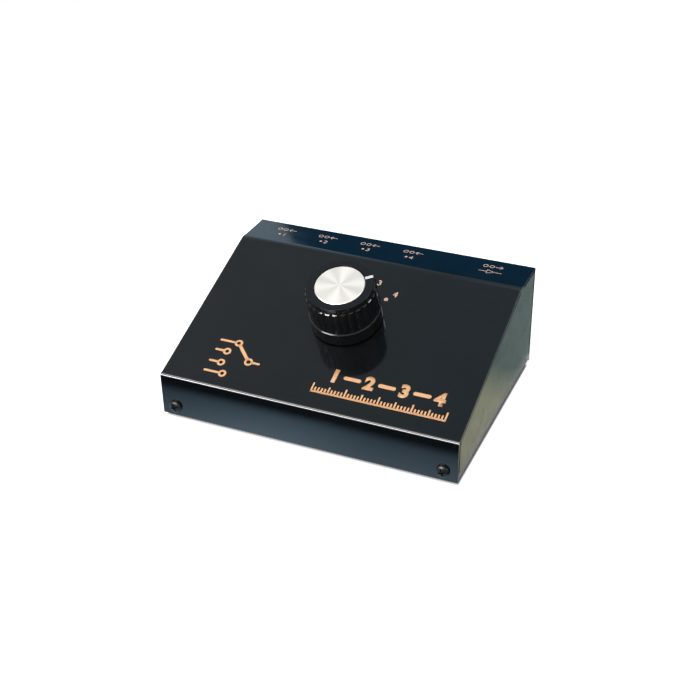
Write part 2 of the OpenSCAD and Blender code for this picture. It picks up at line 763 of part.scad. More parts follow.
module jack_washers() color("#d8d2bd")
    for (i = [1:pairs], row = ["left", "right"]) at_socket(i, row)
        tube(ring_out, tail_r + thread_fit, -sheet - washer_t, -sheet);

// Lug with its tab reaching the ground wire, beside the tab of the other row
module ground_lug(row) {
    side = row == "left" ? -1 : 1;
    reach = mid_row - row_low + 1.2;
    difference() {
        union() {
            translate([0, 0, z_lug]) cylinder(r = ring_out - 0.4, h = lug_t);
            translate([side * (0.1 + lug_w / 2) - lug_w / 2, side < 0 ? 0 : -reach, z_lug])
                cube([lug_w, reach, lug_t]);
        }
        translate([0, 0, z_lug - 1]) cylinder(r = tail_r + thread_fit, h = lug_t + 2);
    }
}

module ground_lugs() color("#bfc2c4")
    for (i = [1:pairs], row = ["left", "right"]) at_socket(i, row) ground_lug(row);

module jack_nuts() color("#c2c5c7")
    for (i = [1:pairs], row = ["left", "right"]) at_socket(i, row) difference() {
        translate([0, 0, z_lug - socket_nut_t])
            cylinder(d = socket_af / cos(30), h = socket_nut_t, $fn = 6);
        translate([0, 0, z_lug - socket_nut_t - 1])
            cylinder(r = tail_r + thread_fit, h = socket_nut_t + 2);
    }

module ground_wire() color("#c7c1b0") {
    bus_y = y_rear + z_lug - bus_r;
    bus_z = foot_h + mid_row;
    end = lug_w + 1.5;
    translate([socket_x(1) - end, bus_y, bus_z]) rotate([0, 90, 0])
        cylinder(r = bus_r, h = socket_x(pairs) - socket_x(1) + 2 * end);
    for (i = [1:pairs], s = [-1, 1])
        translate([socket_x(i) + s * (0.1 + lug_w / 2), bus_y + bus_r, bus_z]) rotate([90, 0, 0])
            cylinder(r = solder_r, h = 2 * bus_r);
}

// Rise of a wire at its middle, so that crossing wires pass over each other
function sag(i, row) =
    row == "left" ? (i > inputs ? sag_step : 0) : (i > inputs ? sag_step / 2 : sag_step * (i - 3));

// Path of the wire from a switch tag to a socket's solder pin
function wire_path(i, row) =
    let (pole = row == "left" ? 0 : 180)
    let (a = rest_a + pole + (i > inputs ? sweep_a / 2 : step_a * (inputs - i)))
    let (out = i > inputs ? common_out : contact_out)
    let (down = [0, sin(slope_a), -cos(slope_a)], back = [0, -1, 0])
    let (p = on_panel([out * cos(a), out * sin(a), z_wafer - tag_l]))
    let (q = [socket_x(i), y_rear + pole_end - pin_tail_l, row_z(row)])
    let (p1 = p + lead * down, q1 = q + lead * back)
    let (ctrl = [p1, p1 + pull_a * down, q1 + pull_b * back, q1])
    concat(
        [p],
        [for (k = [0:18]) bezier(ctrl, k / 18) + [0, 0, sag(i, row) * pow(sin(10 * k), 2)]],
        [q]
    );

module signal_wires_left() color("#e4e1d8") for (i = [1:pairs]) sweep(wire_path(i, "left"), wire_r, 8);

module signal_wires_right() color("#a8262a") for (i = [1:pairs]) sweep(wire_path(i, "right"), wire_r, 8);

top_cover();
base_tray();
front_screws();
rear_screws();
rubber_feet();
knob_body();
knob_cap();
knob_pointer();
knob_bush();
knob_grub_screw();
switch_bushing();
switch_lockwasher();
switch_nut();
switch_housing();
switch_wafer();
switch_terminals();
switch_shaft();
shaft_clip();
switch_rotor();
rotor_wipers();
detent_spring();
detent_ball();
for (i = [1:pairs], row = ["left", "right"])
    jack_shell(i, row);
for (i = [1:pairs], row = ["left", "right"])
    jack_ring(i, row);
for (i = [1:pairs]) jack_core(i);
for (i = [1:pairs]) jack_contact(i);
jack_collars();
jack_washers();
ground_lugs();
jack_nuts();
ground_wire();
signal_wires_left();
signal_wires_right();
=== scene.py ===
"""Looks of the audio source selector: camera, studio, finishes and surface print.

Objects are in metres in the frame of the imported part: X to the right, Y to the rear, Z up.
Sizes on the part are written in millimetres, and the studio's in metres.
"""

import json
import math

import bmesh
import bpy
from mathutils import Matrix, Vector


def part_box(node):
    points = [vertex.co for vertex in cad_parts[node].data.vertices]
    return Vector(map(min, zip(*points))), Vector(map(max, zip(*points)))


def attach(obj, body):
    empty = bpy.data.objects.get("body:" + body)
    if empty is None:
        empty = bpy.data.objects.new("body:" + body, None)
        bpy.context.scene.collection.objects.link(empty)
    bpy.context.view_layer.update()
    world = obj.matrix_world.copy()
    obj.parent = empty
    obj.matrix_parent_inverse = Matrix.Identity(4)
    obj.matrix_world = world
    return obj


MM = 0.001

bpy.context.scene.view_settings.view_transform = "Standard"
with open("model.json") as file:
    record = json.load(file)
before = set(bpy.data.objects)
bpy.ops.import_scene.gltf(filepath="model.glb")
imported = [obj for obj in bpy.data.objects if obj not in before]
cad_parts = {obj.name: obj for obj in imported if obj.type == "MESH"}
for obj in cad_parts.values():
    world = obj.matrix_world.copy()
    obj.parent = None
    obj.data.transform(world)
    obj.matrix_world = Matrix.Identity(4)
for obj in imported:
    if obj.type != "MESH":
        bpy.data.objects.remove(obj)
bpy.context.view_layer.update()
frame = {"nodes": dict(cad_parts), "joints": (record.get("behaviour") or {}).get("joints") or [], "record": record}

# Places on the case in millimetres, from the frame
cover_low, cover_high = ([round(v / MM, 3) for v in corner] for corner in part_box("top_cover"))
knob_axis = frame["joints"][0]["axis"]
CASE_W = cover_high[0] - cover_low[0]
CASE_D = cover_high[1] - cover_low[1]
Y_REAR = cover_high[1]
STRIP_Z = cover_high[2]
SLOPE = math.atan2(-knob_axis[1], knob_axis[2])

# Socket pairs along the rear, the output last
SOCKET_X = [
    round(mount["pos_m"][0] / MM, 3)
    for mount in frame["record"]["mounts"]
    if mount["name"].endswith("left_shell")
]
INPUTS = len(SOCKET_X) - 1

# The knob's foot on the slope, and its way up from the front edge, as in the part's source
KNOB_FOOT = Vector((0.0, -8.8047, 39.6380))
KNOB_S = 51.3

# Planes that carry print: the slope from the knob's foot, and the strip from the rear edge
PANEL = Matrix.Translation(KNOB_FOOT) @ Matrix.Rotation(SLOPE, 4, "X")
STRIP = Matrix.Translation((0.0, Y_REAR, STRIP_Z))
FRONT_EDGE = -KNOB_S  # Y of the front edge in the first plane

# Camera of the photograph: angles in degrees, lengths in millimetres, clipping in metres
CAM_AZIMUTH = 23.806
CAM_ELEVATION = 31.392
CAM_ROLL = -0.928
CAM_TARGET = (0.70, -7.97, 23.0)
CAM_DISTANCE = 558.11
CAM_LENS = 63.07
CAM_SENSOR = 36.0
CAM_CLIP = (0.01, 50.0)


def add_camera():
    az, el, roll = (math.radians(a) for a in (CAM_AZIMUTH, CAM_ELEVATION, CAM_ROLL))
    back = Vector((math.sin(az) * math.cos(el), -math.cos(az) * math.cos(el), math.sin(el)))
    right = Vector((math.cos(az), math.sin(az), 0.0))
    up = back.cross(right)
    x = right * math.cos(roll) + up * math.sin(roll)
    y = up * math.cos(roll) - right * math.sin(roll)
    data = bpy.data.cameras.new("photo_camera")
    data.sensor_width = CAM_SENSOR
    data.lens = CAM_LENS
    data.clip_start, data.clip_end = CAM_CLIP
    camera = bpy.data.objects.new("photo_camera", data)
    place = Matrix((x, y, back)).transposed().to_4x4()
    place.translation = (Vector(CAM_TARGET) + back * CAM_DISTANCE) * MM
    camera.matrix_world = place
    bpy.context.scene.collection.objects.link(camera)
    bpy.context.scene.camera = camera


# Node helpers


class Nodes:
    """A node tree with short ways to add and join nodes."""

    def __init__(self, tree):
        self.tree = tree
        tree.nodes.clear()

    def add(self, kind, inputs=None, **props):
        node = self.tree.nodes.new(kind)
        for key, value in props.items():
            setattr(node, key, value)
        for key, value in (inputs or {}).items():
            self.feed(node.inputs[key], value)
        return node

    def feed(self, socket, value):
        """Joins an output to a socket, or sets the socket to a plain value."""
        if isinstance(value, bpy.types.NodeSocket):
            self.tree.links.new(value, socket)
        else:
            socket.default_value = value

    def math(self, operation, a, b=0.0, clamp=False):
        node = self.add("ShaderNodeMath", operation=operation, use_clamp=clamp)
        self.feed(node.inputs[0], a)
        self.feed(node.inputs[1], b)
        return node.outputs[0]

    def noise(self, place, scale, detail=3.0, rough=0.55):
        node = self.add(
            "ShaderNodeTexNoise",
            {"Vector": place, "Scale": scale, "Detail": detail, "Roughness": rough},
        )
        return node.outputs["Fac"]

    def span(self, value, low, high, start=0.3, end=0.7):
        """Turns values from start to end into low to high; the usual start and end suit a noise."""
        node = self.add(
            "ShaderNodeMapRange",
            {"Value": value, "From Min": start, "From Max": end, "To Min": low, "To Max": high},
        )
        return node.outputs["Result"]

    def blend(self, factor, a, b):
        node = self.add("ShaderNodeMix", data_type="RGBA")
        self.feed(node.inputs["Factor"], factor)
        self.feed(node.inputs["A"], a)
        self.feed(node.inputs["B"], b)
        return node.outputs["Result"]

    def here(self):
        return self.add("ShaderNodeTexCoord").outputs["Object"]

    def parts(self, vector):
        """The X, Y and Z outputs of a vector."""
        return self.add("ShaderNodeSeparateXYZ", {"Vector": vector}).outputs

    def bump(self, height, depth, strength, normal=None):
        inputs = {"Height": height, "Distance": depth * MM, "Strength": strength}
        if normal is not None:
            inputs["Normal"] = normal
        return self.add("ShaderNodeBump", inputs).outputs["Normal"]

    def close(self, shader, output="ShaderNodeOutputMaterial"):
        """Joins a shader to a new output."""
        self.feed(self.add(output).inputs["Surface"], shader)


def rgb(colour):
    return (colour[0], colour[1], colour[2], 1.0)


def new_material(name):
    material = bpy.data.materials.new(name)
    material.use_nodes = True
    return material, Nodes(material.node_tree)


def close_material(n, **sockets):
    """Adds the surface shader with the given sockets and joins it to the output."""
    inputs = {name.replace("_", " "): value for name, value in sockets.items()}
    n.close(n.add("ShaderNodeBsdfPrincipled", inputs).outputs["BSDF"])


# Finishes

# A noise is (scale per metre, detail, roughness), and a relief is (depth in mm, strength)
PATCH_DETAIL = 4.0
GLOSS_PER_PATCH = 3.1  # how much finer the gloss varies than the colour
GRAIN_DETAIL = 2.0
GRAIN_STRENGTH = 0.6


def plain_finish(name, dark, light, rough, patch, grain=2200.0, depth=0.004, **sockets):
    """Finish with colour patches, uneven gloss and a fine grain."""
    material, n = new_material(name)
    here = n.here()
    patches = n.noise(here, patch, PATCH_DETAIL)
    fine = n.noise(here, grain, GRAIN_DETAIL)
    close_material(
        n,
        Base_Color=n.blend(n.span(patches, 0.0, 1.0), rgb(dark), rgb(light)),
        Roughness=n.span(n.noise(here, GLOSS_PER_PATCH * patch), *rough),
        Normal=n.bump(fine, depth, GRAIN_STRENGTH),
        **sockets,
    )
    return material


PEEL_NOISE = (900.0, 1.5)
PEEL_RELIEF = (0.0012, 0.4)
SWELL_NOISE = (130.0, 2.0)
SWELL_RELIEF = (0.008, 0.3)
NIB_SCALE = 420.0
NIB_SIZE = 0.09  # share of the distance between nibs
NIB_RELIEF = (0.008, 0.4)
RUB_SCALE = (60.0, 900.0, 900.0)  # rub marks run along X
RUB_NOISE = (1.0, 4.0, 0.7)
RUB_FROM = (0.55, 0.8)
RUB_ROUGH = 0.04
TONE_NOISE = (45.0, 4.0)


def paint_finish(name, dark, light, rough):
    """Sprayed enamel: orange peel, dust nibs and faint rub marks under a glossy film."""
    material, n = new_material(name)
    here = n.here()
    peel = n.noise(here, *PEEL_NOISE)
    swell = n.noise(here, *SWELL_NOISE)
    stretched = n.add("ShaderNodeMapping", {"Vector": here, "Scale": RUB_SCALE})
    rubs = n.noise(stretched.outputs["Vector"], *RUB_NOISE)
    nibs = n.add("ShaderNodeTexVoronoi", {"Vector": here, "Scale": NIB_SCALE})
    nib = n.span(nibs.outputs["Distance"], 1.0, 0.0, 0.0, NIB_SIZE)
    normal = n.bump(swell, *SWELL_RELIEF)
    normal = n.bump(peel, *PEEL_RELIEF, normal)
    normal = n.bump(nib, *NIB_RELIEF, normal)
    rubbed = n.span(rubs, 0.0, RUB_ROUGH, *RUB_FROM)
    tone = n.span(n.noise(here, *TONE_NOISE), 0.0, 1.0)
    close_material(
        n,
        Base_Color=n.blend(tone, rgb(dark), rgb(light)),
        Roughness=n.math("ADD", n.span(swell, *rough), rubbed),
        Normal=normal,
    )
    return material


RING_SCALE = 2600.0
RING_NOISE = (1.0, 3.0, 0.7)
RING_RELIEF = (0.006, 0.5)
# The streaks, arms and wedges below are a painted reflection: they grey the cap's base colour in wedges between
# bright arms.
STREAK_NOISE = (3.2, 4.0, 0.6)
STREAK_TWIST = 25.0  # how fast the streaks change from the middle outwards
STREAK_SPAN = (0.75, 1.1)
REFLECTION_ARMS = 6
REFLECTION_ARM_TURN = math.radians(27.9)
PULLS = 2
PULL_TURN = math.radians(63.0)
PULL_REACH = math.radians(7.9)
PAINTED_WEDGE_TONE = 0.81


def spun_finish_and_painted_reflection(name, colour, rough):
    """Lathe-turned face about the knob axis: fine rings, and a painted reflection in its colour, greyer wedges
    between bright arms.
    """
    material, n = new_material(name)
    from_foot = {0: n.here(), 1: tuple(-KNOB_FOOT * MM)}
    local = n.add("ShaderNodeVectorMath", from_foot, operation="ADD")
    level = n.add(
        "ShaderNodeVectorRotate",
        {"Vector": local.outputs[0], "Axis": (1.0, 0.0, 0.0), "Angle": -SLOPE},
        rotation_type="AXIS_ANGLE",
    )
    place = n.parts(level.outputs["Vector"])
    x, y = place["X"], place["Y"]
    radius = n.math("SQRT", n.math("ADD", n.math("MULTIPLY", x, x), n.math("MULTIPLY", y, y)))
    angle = n.math("ARCTAN2", y, x)
    outward = n.add("ShaderNodeCombineXYZ", {"X": n.math("MULTIPLY", radius, RING_SCALE)})
    rings = n.noise(outward.outputs["Vector"], *RING_NOISE)
    around = n.add(
        "ShaderNodeCombineXYZ",
        {
            "X": n.math("COSINE", angle),
            "Y": n.math("SINE", angle),
            "Z": n.math("MULTIPLY", radius, STREAK_TWIST),
        },
    )
    reflection_streaks = n.noise(around.outputs["Vector"], *STREAK_NOISE)
    # The painted reflection's arms are pulled together and apart around the face
    pull = n.math("SINE", n.math("MULTIPLY", n.math("SUBTRACT", angle, PULL_TURN), PULLS))
    turn = n.math("SUBTRACT", angle, n.math("MULTIPLY", pull, PULL_REACH))
    turn = n.math("MULTIPLY", n.math("SUBTRACT", turn, REFLECTION_ARM_TURN), REFLECTION_ARMS)
    painted_grey = n.span(n.math("COSINE", turn), 1.0, 0.0, -1.0, 1.0)
    # Painted reflection: greyer wedges between the bright arms, put into the base colour
    painted_reflection = n.math("MULTIPLY", painted_grey, n.span(reflection_streaks, *STREAK_SPAN))
    tangent = n.add("ShaderNodeTangent", direction_type="RADIAL", axis="Z")
    close_material(
        n,
        Base_Color=n.blend(painted_reflection, rgb(colour), rgb([PAINTED_WEDGE_TONE * c for c in colour])),
        Metallic=1.0,
        Roughness=n.span(rings, *rough),
        Anisotropic=0.08,
        Anisotropic_Rotation=0.25,
        Tangent=tangent.outputs["Tangent"],
        Normal=n.bump(rings, *RING_RELIEF),
    )
    return material


PAINTS = {
    "cover_paint": dict(
        dark=(0.0036, 0.0046, 0.0056), light=(0.0056, 0.0068, 0.0080), rough=(0.06, 0.10)
    ),
    "tray_paint": dict(
        dark=(0.0046, 0.0056, 0.0062), light=(0.0068, 0.0080, 0.0086), rough=(0.18, 0.28)
    ),
}
PLAIN = {
    # Screws and feet
    "black_screw": dict(
        dark=(0.012, 0.012, 0.013), light=(0.024, 0.024, 0.025), rough=(0.26, 0.42),
        patch=400.0, Metallic=0.7,
    ),
    "foot_rubber": dict(
        dark=(0.010, 0.010, 0.010), light=(0.020, 0.020, 0.019), rough=(0.7, 0.9),
        patch=300.0, grain=1800.0, depth=0.02,
    ),
    # Knob
    "knob_plastic": dict(
        dark=(0.0056, 0.0068, 0.0074), light=(0.0080, 0.0094, 0.0100), rough=(0.09, 0.15),
        patch=260.0, grain=2600.0, depth=0.001, Specular_IOR_Level=0.36,
    ),
    "pointer_white": dict(
        dark=(0.78, 0.77, 0.73), light=(0.88, 0.87, 0.84), rough=(0.3, 0.45), patch=500.0
    ),
    "bush_brass": dict(
        dark=(0.56, 0.40, 0.15), light=(0.68, 0.50, 0.21), rough=(0.22, 0.36),
        patch=350.0, Metallic=1.0,
    ),
    "tool_steel": dict(
        dark=(0.06, 0.063, 0.068), light=(0.11, 0.115, 0.12), rough=(0.28, 0.42),
        patch=500.0, Metallic=1.0,
    ),
    # Switch
    "cast_zinc": dict(
        dark=(0.44, 0.45, 0.46), light=(0.56, 0.57, 0.58), rough=(0.34, 0.5),
        patch=350.0, grain=1500.0, depth=0.008, Metallic=1.0,
    ),
    "plated_steel": dict(
        dark=(0.56, 0.57, 0.57), light=(0.68, 0.68, 0.67), rough=(0.2, 0.34),
        patch=400.0, Metallic=1.0,
    ),
    "switch_plastic": dict(
        dark=(0.018, 0.019, 0.021), light=(0.030, 0.032, 0.034), rough=(0.4, 0.55), patch=300.0
    ),
    "wafer_board": dict(
        dark=(0.13, 0.06, 0.022), light=(0.20, 0.10, 0.038), rough=(0.42, 0.58),
        patch=260.0, grain=1400.0, depth=0.006,
    ),
    "contact_metal": dict(
        dark=(0.58, 0.45, 0.20), light=(0.72, 0.58, 0.30), rough=(0.18, 0.3),
        patch=500.0, Metallic=1.0,
    ),
    "turned_aluminium": dict(
        dark=(0.62, 0.63, 0.63), light=(0.74, 0.74, 0.73), rough=(0.24, 0.36),
        patch=500.0, Metallic=1.0,
    ),
    "rotor_nylon": dict(
        dark=(0.66, 0.63, 0.54), light=(0.78, 0.75, 0.66), rough=(0.42, 0.56), patch=260.0
    ),
    # Sockets
    "jack_nickel": dict(
        dark=(0.58, 0.575, 0.55), light=(0.70, 0.69, 0.66), rough=(0.12, 0.24),
        patch=450.0, grain=2600.0, depth=0.002, Metallic=1.0,
    ),
    "ring_white": dict(
        dark=(0.72, 0.70, 0.65), light=(0.82, 0.80, 0.76), rough=(0.36, 0.5), patch=320.0
    ),
    "ring_red": dict(
        dark=(0.36, 0.012, 0.014), light=(0.46, 0.024, 0.024), rough=(0.36, 0.5), patch=320.0
    ),
    "core_plastic": dict(
        dark=(0.014, 0.015, 0.017), light=(0.024, 0.025, 0.028), rough=(0.36, 0.5), patch=320.0
    ),
    "fibre_washer": dict(
        dark=(0.52, 0.48, 0.36), light=(0.66, 0.62, 0.50), rough=(0.6, 0.8),
        patch=420.0, grain=1600.0, depth=0.012,
    ),
    # Wires
    "tinned_metal": dict(
        dark=(0.52, 0.52, 0.50), light=(0.66, 0.65, 0.62), rough=(0.26, 0.42),
        patch=420.0, Metallic=1.0,
    ),
    "wire_white": dict(
        dark=(0.70, 0.68, 0.62), light=(0.80, 0.78, 0.73), rough=(0.4, 0.55), patch=300.0
    ),
    "wire_red": dict(
        dark=(0.34, 0.014, 0.016), light=(0.44, 0.026, 0.026), rough=(0.4, 0.55), patch=300.0
    ),
    # Inks
    "ink_gold": dict(
        dark=(0.85, 0.45, 0.205), light=(0.95, 0.53, 0.255), rough=(0.4, 0.55),
        patch=700.0, grain=3200.0,
    ),
    "ink_tan": dict(
        dark=(0.75, 0.51, 0.39), light=(0.85, 0.60, 0.47), rough=(0.4, 0.55),
        patch=700.0, grain=3200.0,
    ),
}
SPUN = {"knob_aluminium": dict(colour=(0.962, 0.903, 0.838), rough=(0.48, 0.58))}


def make_finishes():
    """One material for each slot of the record, and the two inks."""
    finishes = {}
    for make, looks in ((paint_finish, PAINTS), (plain_finish, PLAIN), (spun_finish_and_painted_reflection, SPUN)):
        for name, look in looks.items():
            finishes[name] = make(name, **look)
    return finishes


# Smoothing and edges of the CAD nodes, lengths in millimetres

JOIN = 0.004  # corners nearer than this count as one
SMOOTH_ANGLE = math.radians(32)
EDGE_ANGLE = math.radians(38)
EDGE_STEPS = 3

# Edge radii of the nodes that show
EDGES = {
    "top_cover": 0.42,
    "base_tray": 0.12,
    "knob_body": 0.12,
    "knob_cap": 0.10,
    "front_screws": 0.10,
    "rear_screws": 0.10,
    "jack_collars": 0.12,
}

# Sheets, where only edges that are long and not low down are rounded
SHEETS = ("top_cover", "base_tray")
LONG_EDGE = 1.2
LOW_EDGE_Z = 4.0


def smooth_group():
    """Modifier tree that joins CAD facets, smooths gentle angles and marks the long edges."""
    group = bpy.data.node_groups.new("smooth_by_angle", "GeometryNodeTree")
    for way in ("INPUT", "OUTPUT"):
        group.interface.new_socket("Geometry", in_out=way, socket_type="NodeSocketGeometry")
    n = Nodes(group)
    start = n.add("NodeGroupInput").outputs[0]
    free = n.add("GeometryNodeRemoveAttribute", {"Geometry": start, "Name": "custom_normal"})
    joined = n.add(
        "GeometryNodeMergeByDistance", {"Geometry": free.outputs[0], "Distance": JOIN * MM}
    )
    smooth = n.add(
        "GeometryNodeSetShadeSmooth", {"Geometry": joined.outputs[0], "Shade Smooth": True}
    )
    angle = n.add("GeometryNodeInputMeshEdgeAngle").outputs["Unsigned Angle"]
    steep = n.add("FunctionNodeCompare", {"A": angle, "B": SMOOTH_ANGLE}, operation="GREATER_THAN")
    sharp = n.add(
        "GeometryNodeSetShadeSmooth",
        {"Geometry": smooth.outputs[0], "Selection": steep.outputs[0], "Shade Smooth": False},
        domain="EDGE",
    )
    ends = n.add("GeometryNodeInputMeshEdgeVertices").outputs
    length = n.add(
        "ShaderNodeVectorMath",
        {0: ends["Position 1"], 1: ends["Position 2"]},
        operation="DISTANCE",
    ).outputs["Value"]
    height = n.parts(ends["Position 1"])["Z"]
    turned = n.math("GREATER_THAN", angle, EDGE_ANGLE)
    turned = n.math("MULTIPLY", turned, n.math("GREATER_THAN", height, LOW_EDGE_Z * MM))
    long_edge = n.math("GREATER_THAN", length, LONG_EDGE * MM)
    marked = n.add(
        "GeometryNodeStoreNamedAttribute",
        {
            "Geometry": sharp.outputs[0],
            "Name": "bevel_weight_edge",
            "Value": n.math("MULTIPLY", turned, long_edge),
        },
        data_type="FLOAT",
        domain="EDGE",
    )
    n.feed(n.add("NodeGroupOutput").inputs[0], marked.outputs[0])
    return group


def dress_node(obj, group, edge, long_only):
    """Smooths a CAD node and rounds its edges, where it has an edge radius."""
    modifier = obj.modifiers.new("smooth", "NODES")
    modifier.node_group = group
    if edge:
        bevel = obj.modifiers.new("edge", "BEVEL")
        bevel.width = edge * MM
        bevel.segments = EDGE_STEPS
        bevel.limit_method = "WEIGHT" if long_only else "ANGLE"
        bevel.angle_limit = EDGE_ANGLE
        bevel.use_clamp_overlap = True
        even = obj.modifiers.new("even", "WEIGHTED_NORMAL")
        even.keep_sharp = True


# Surface print, in millimetres in the plane of a surface

INK_TOP = 0.03
INK_FOOT = 0.002
CIRCLE_SIDES = 40
END_STEPS = 8
DIGIT_STEPS = 8
DIGIT_JOIN = 1e-5


class Print:
    """Flat ink shapes in the plane of a surface."""

    def __init__(self):
        self.mesh = bmesh.new()

    def prism(self, outline, holes=()):
        """Ink patch with straight sides from a closed outline, or a ring between two outlines."""
        rings = []
        for ring in (outline, *holes):
            top = [self.mesh.verts.new((x, y, INK_TOP)) for x, y in ring]
            foot = [self.mesh.verts.new((x, y, INK_FOOT)) for x, y in ring]
            for k in range(len(ring)):
                j = (k + 1) % len(ring)
                self.mesh.faces.new((top[k], foot[k], foot[j], top[j]))
            rings.append((top, foot))
        if holes:
            (outer, outer_foot), (inner, inner_foot) = rings
            for k in range(len(outer)):
                j = (k + 1) % len(outer)
                self.mesh.faces.new((outer[k], outer[j], inner[j], inner[k]))
                self.mesh.faces.new((outer_foot[j], outer_foot[k], inner_foot[k], inner_foot[j]))
        else:
            top, foot = rings[0]
            self.mesh.faces.new(top)
            self.mesh.faces.new(list(reversed(foot)))

    @staticmethod
    def circle(x, y, r):
        turns = [2 * math.pi * k / CIRCLE_SIDES for k in range(CIRCLE_SIDES)]
        return [(x + r * math.cos(a), y + r * math.sin(a)) for a in turns]

    def dot(self, x, y, r):
        self.prism(self.circle(x, y, r))

    def ring(self, x, y, r, width):
        self.prism(self.circle(x, y, r + width / 2), [self.circle(x, y, r - width / 2)])

    def line(self, x0, y0, x1, y1, width):
        """Straight stroke with round ends."""
        turn = math.atan2(y1 - y0, x1 - x0)
        half = width / 2
        outline = []
        for cx, cy, start in ((x1, y1, turn - math.pi / 2), (x0, y0, turn + math.pi / 2)):
            for k in range(END_STEPS + 1):
                a = start + math.pi * k / END_STEPS
                outline.append((cx + half * math.cos(a), cy + half * math.sin(a)))
        self.prism(outline)

    def number(self, text, x, y, height, weight):
        """Digits of the given height, centred on x and y. The weight thickens their strokes."""
        curve = bpy.data.curves.new("digits", "FONT")
        curve.body = text
        curve.offset = weight
        curve.resolution_u = DIGIT_STEPS
        holder = bpy.data.objects.new("digits", curve)
        bpy.context.scene.collection.objects.link(holder)
        graph = bpy.context.evaluated_depsgraph_get()
        flat = bpy.data.meshes.new_from_object(holder.evaluated_get(graph))
        bpy.data.objects.remove(holder)
        bpy.data.curves.remove(curve)
        part = bmesh.new()
        part.from_mesh(flat)
        bpy.data.meshes.remove(flat)
        bmesh.ops.remove_doubles(part, verts=part.verts, dist=DIGIT_JOIN)
        xs = [v.co.x for v in part.verts]
        ys = [v.co.y for v in part.verts]
        scale = height / (max(ys) - min(ys))
        middle = Vector(((max(xs) + min(xs)) / 2, (max(ys) + min(ys)) / 2, 0.0))
        for v in part.verts:
            v.co = (v.co - middle) * scale + Vector((x, y, 0.0))
            v.co.z = INK_TOP
        raised = bmesh.ops.extrude_face_region(part, geom=part.faces[:])
        for item in raised["geom"]:
            if isinstance(item, bmesh.types.BMVert):
                item.co.z = INK_FOOT
        bmesh.ops.recalc_face_normals(part, faces=part.faces)
        moved = bpy.data.meshes.new("digits")
        part.to_mesh(moved)
        part.free()
        self.mesh.from_mesh(moved)
        bpy.data.meshes.remove(moved)

    def put(self, name, place, material):
        """Makes the print an object on the case, in the plane given by place."""
        bmesh.ops.recalc_face_normals(self.mesh, faces=self.mesh.faces)
        for v in self.mesh.verts:
            v.co = (place @ v.co) * MM
        data = bpy.data.meshes.new(name)
        self.mesh.to_mesh(data)
        self.mesh.free()
        data.materials.append(material)
        obj = bpy.data.objects.new(name, data)
        bpy.context.scene.collection.objects.link(obj)
        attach(obj, "case")


# Dial around the knob, angles in degrees from the line up the slope
DIAL_ANGLES = (-35.0, -10.0, 15.0, 40.0)
DIAL_DOT_AT = 20.0
DIAL_DOT_R = 1.0
DIAL_NUMBER_AT = 25.0
DIAL_NUMBER_H = 3.3
DIAL_NUMBER_WEIGHT = 0.02


def print_dial(finish):
    """Numbers and dots of the four positions around the knob."""
    numbers, dots = Print(), Print()
    for k, angle in enumerate(DIAL_ANGLES):
        across, along = math.sin(math.radians(angle)), math.cos(math.radians(angle))
        dots.dot(DIAL_DOT_AT * across, DIAL_DOT_AT * along, DIAL_DOT_R)
        x, y = DIAL_NUMBER_AT * across, DIAL_NUMBER_AT * along
        numbers.number(str(k + 1), x, y, DIAL_NUMBER_H, DIAL_NUMBER_WEIGHT)
    numbers.put("print_dial_numbers", PANEL, finish["ink_tan"])
    dots.put("print_dial_dots", PANEL, finish["ink_tan"])


# Signs on the strip, X from the middle of a socket pair and Y from the rear edge
SIGN_X = -0.4
SIGN_Y = -7.8
SIGN_STROKE = 0.33
SOCKET_RINGS = (-3.6, -0.6)
SOCKET_RING_R = 1.05
ARROW = (1.2, 4.8)
ARROW_BARB = (1.3, 1.1)  # along and across the arrow
TAG_Y = -13.0
TAG_DOT_X = -1.6
TAG_DOT_R = 0.62
TAG_NUMBER_X = 0.9
TAG_NUMBER_H = 2.9
TAG_NUMBER_WEIGHT = 0.008
OUT_REACH = 5.4
OUT_ARROW = (-1.6, 2.0)
OUT_HALF = 1.7
OUT_STROKE = 0.31


def print_strip(finish):
    """Signs of the socket pairs, with numbers for the inputs and an arrowhead for the output."""
    marks = Print()
    for k, middle in enumerate(SOCKET_X):
        x = middle + SIGN_X
        inward = k < INPUTS
        for side in SOCKET_RINGS:
            marks.ring(x + side, SIGN_Y, SOCKET_RING_R, SIGN_STROKE)
        left, right = (x + end for end in ARROW)
        marks.line(left, SIGN_Y, right, SIGN_Y, SIGN_STROKE)
        barb, rise = ARROW_BARB
        tip, tail = (left, left + barb) if inward else (right, right - barb)
        for side in (1, -1):
            marks.line(tip, SIGN_Y, tail, SIGN_Y + side * rise, SIGN_STROKE)
        if inward:
            marks.dot(x + TAG_DOT_X, TAG_Y, TAG_DOT_R)
            marks.number(str(k + 1), x + TAG_NUMBER_X, TAG_Y, TAG_NUMBER_H, TAG_NUMBER_WEIGHT)
        else:
            base, point = (x + end for end in OUT_ARROW)
            marks.line(x - OUT_REACH, TAG_Y, base, TAG_Y, OUT_STROKE)
            marks.line(point, TAG_Y, x + OUT_REACH, TAG_Y, OUT_STROKE)
            corners = ((base, TAG_Y - OUT_HALF), (point, TAG_Y), (base, TAG_Y + OUT_HALF))
            for (x0, y0), (x1, y1) in zip(corners, corners[1:] + corners[:1]):
                marks.line(x0, y0, x1, y1, OUT_STROKE)
    marks.put("print_strip_marks", STRIP, finish["ink_tan"])


# Row of numbers over a ruled scale along the front edge
ROW_X = 7.2
ROW_Y = FRONT_EDGE + 19.4
ROW_STEP = 16.0
ROW_NUMBER_H = 7.3
ROW_NUMBER_WEIGHT = 0.055
DASH_L = 6.2
DASH_STROKE = 1.9
RULE_X = -0.2
RULE_Y = FRONT_EDGE + 9.3
RULE_STROKE = 0.9
TICKS = 41
TICK_STEP = 1.52
TICK_STROKE = 0.76
TICK_LENGTHS = ((10, 4.1), (5, 3.3), (1, 2.1))  # of each tenth tick, each fifth and the rest


